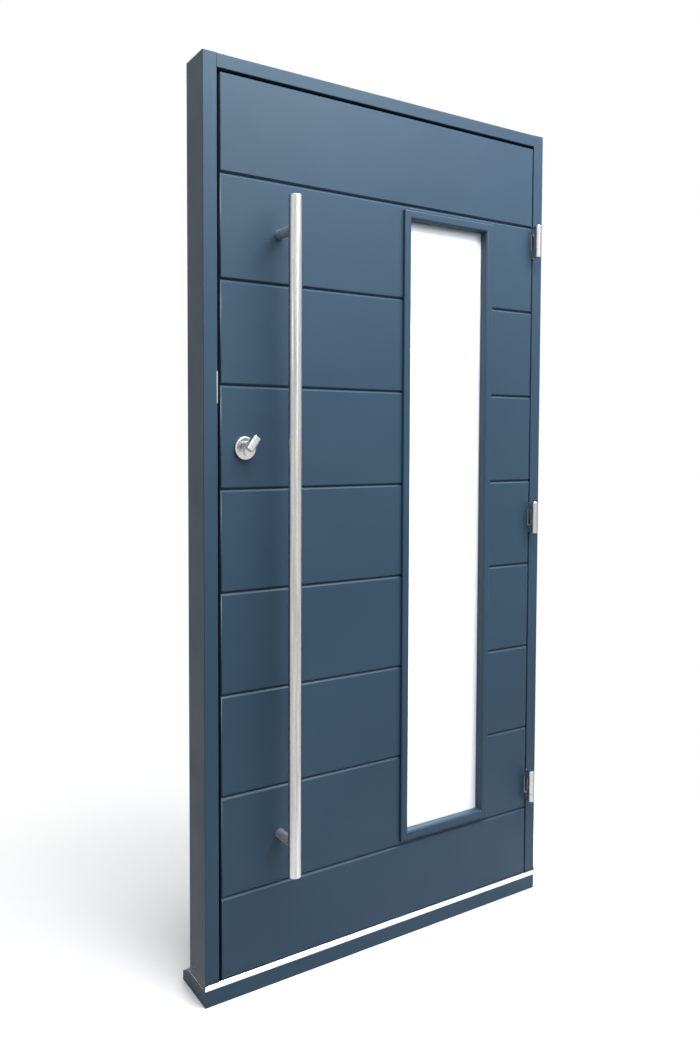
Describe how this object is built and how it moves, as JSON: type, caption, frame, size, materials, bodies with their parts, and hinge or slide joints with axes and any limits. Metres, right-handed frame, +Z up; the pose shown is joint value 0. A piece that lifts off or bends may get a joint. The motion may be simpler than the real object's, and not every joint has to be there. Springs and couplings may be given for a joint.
{
  "type": "entrance door",
  "caption": "Boarded entrance door leaf with a tall glazed slot, long pull bars and a hook lock, hinged in its own rebated frame on a weathered cill.",
  "frame": {"origin": "centre of the cill's underside", "axes": "+X from the lock jamb to the hinge jamb, +Y from inside to outside, +Z up"},
  "size_m": [1.02, 0.224, 2.1],
  "materials": {
    "slate_paint": "satin slate-blue paint",
    "black_rubber": "matt black",
    "threshold_aluminium": "bright mill finish",
    "clear_glass": "clear float",
    "brushed_stainless": "fine brushed",
    "zinc_steel": "bright zinc plate"
  },
  "bodies": {
    "frame": {"lock_jamb": "slate_paint", "hinge_jamb": "slate_paint", "frame_head": "slate_paint", "cill": "slate_paint", "threshold_bar": "threshold_aluminium", "threshold_seal": "black_rubber", "jamb_pads": "black_rubber", "lock_side_seal": "black_rubber", "hinge_side_seal": "black_rubber", "head_seal": "black_rubber", "latch_keep": "brushed_stainless", "upper_hook_keep": "brushed_stainless", "lower_hook_keep": "brushed_stainless", "keep_screws": "brushed_stainless", "upper_hinge_frame_flap": "brushed_stainless", "middle_hinge_frame_flap": "brushed_stainless", "lower_hinge_frame_flap": "brushed_stainless", "hinge_pins": "brushed_stainless", "hinge_frame_screws": "brushed_stainless"},
    "leaf": {"door_leaf": "slate_paint", "inner_pane": "clear_glass", "outer_pane": "clear_glass", "glazing_spacer": "black_rubber", "setting_blocks": "black_rubber", "inner_top_bead": "slate_paint", "inner_bottom_bead": "slate_paint", "inner_lock_bead": "slate_paint", "inner_hinge_bead": "slate_paint", "outer_top_bead": "slate_paint", "outer_bottom_bead": "slate_paint", "outer_lock_bead": "slate_paint", "outer_hinge_bead": "slate_paint", "glazing_tapes": "black_rubber", "upper_hinge_leaf_flap": "brushed_stainless", "middle_hinge_leaf_flap": "brushed_stainless", "lower_hinge_leaf_flap": "brushed_stainless", "hinge_leaf_screws": "brushed_stainless", "inner_pull_bar": "brushed_stainless", "inner_posts": "brushed_stainless", "outer_pull_bar": "brushed_stainless", "outer_posts": "brushed_stainless", "handle_bolts": "zinc_steel", "lock_faceplate": "brushed_stainless", "lock_case": "zinc_steel", "upper_hook_case": "zinc_steel", "lower_hook_case": "zinc_steel", "faceplate_screws": "brushed_stainless", "cylinder_body": "brushed_stainless", "inner_rose": "brushed_stainless", "outer_rose": "brushed_stainless", "key_plug": "brushed_stainless", "weather_bar": "slate_paint"},
    "thumb_turn": {"thumb_turn": "brushed_stainless", "cylinder_cam": "zinc_steel"},
    "latch": {"latch_bolt": "brushed_stainless"},
    "deadbolt": {"deadbolt": "brushed_stainless"},
    "upper_hook": {"upper_hook": "zinc_steel"},
    "lower_hook": {"lower_hook": "zinc_steel"},
    "upper_rod": {"upper_drive_rod": "zinc_steel"},
    "lower_rod": {"lower_drive_rod": "zinc_steel"}
  },
  "joints": [
    {"name": "leaf_swing", "type": "hinge", "parent": "frame", "child": "leaf", "pos_m": [0.474, -0.083, 1.06], "axis": [0, 0, 1], "range_deg": [0, 170]},
    {"name": "thumb_turn_spin", "type": "hinge", "parent": "leaf", "child": "thumb_turn", "pos_m": [-0.411, -0.063, 1.2586], "axis": [0, 1, 0], "range_deg": [0, 360]},
    {"name": "latch_slide", "type": "slide", "parent": "leaf", "child": "latch", "axis": [-1, 0, 0], "range_m": [0, 0.014]},
    {"name": "deadbolt_slide", "type": "slide", "parent": "leaf", "child": "deadbolt", "axis": [-1, 0, 0], "range_m": [0, 0.02]},
    {"name": "upper_hook_swing", "type": "hinge", "parent": "leaf", "child": "upper_hook", "pos_m": [-0.453, -0.036, 1.795], "axis": [0, 1, 0], "range_deg": [0, 90]},
    {"name": "lower_hook_swing", "type": "hinge", "parent": "leaf", "child": "lower_hook", "pos_m": [-0.453, -0.036, 0.33], "axis": [0, 1, 0], "range_deg": [0, 90]},
    {"name": "upper_rod_slide", "type": "slide", "parent": "leaf", "child": "upper_rod", "axis": [0, 0, 1], "range_m": [0, 0.018]},
    {"name": "lower_rod_slide", "type": "slide", "parent": "leaf", "child": "lower_rod", "axis": [0, 0, -1], "range_m": [0, 0.018]}
  ],
  "couplings": [
    {"joint": "thumb_turn_spin", "follows": "lower_rod_slide", "rad_per_m": 348.9},
    {"joint": "deadbolt_slide", "follows": "lower_rod_slide", "ratio": 1.111},
    {"joint": "upper_rod_slide", "follows": "lower_rod_slide", "ratio": 0.9999},
    {"joint": "upper_hook_swing", "follows": "lower_rod_slide", "rad_per_m": 87.25},
    {"joint": "lower_hook_swing", "follows": "lower_rod_slide", "rad_per_m": 87.25}
  ]
}
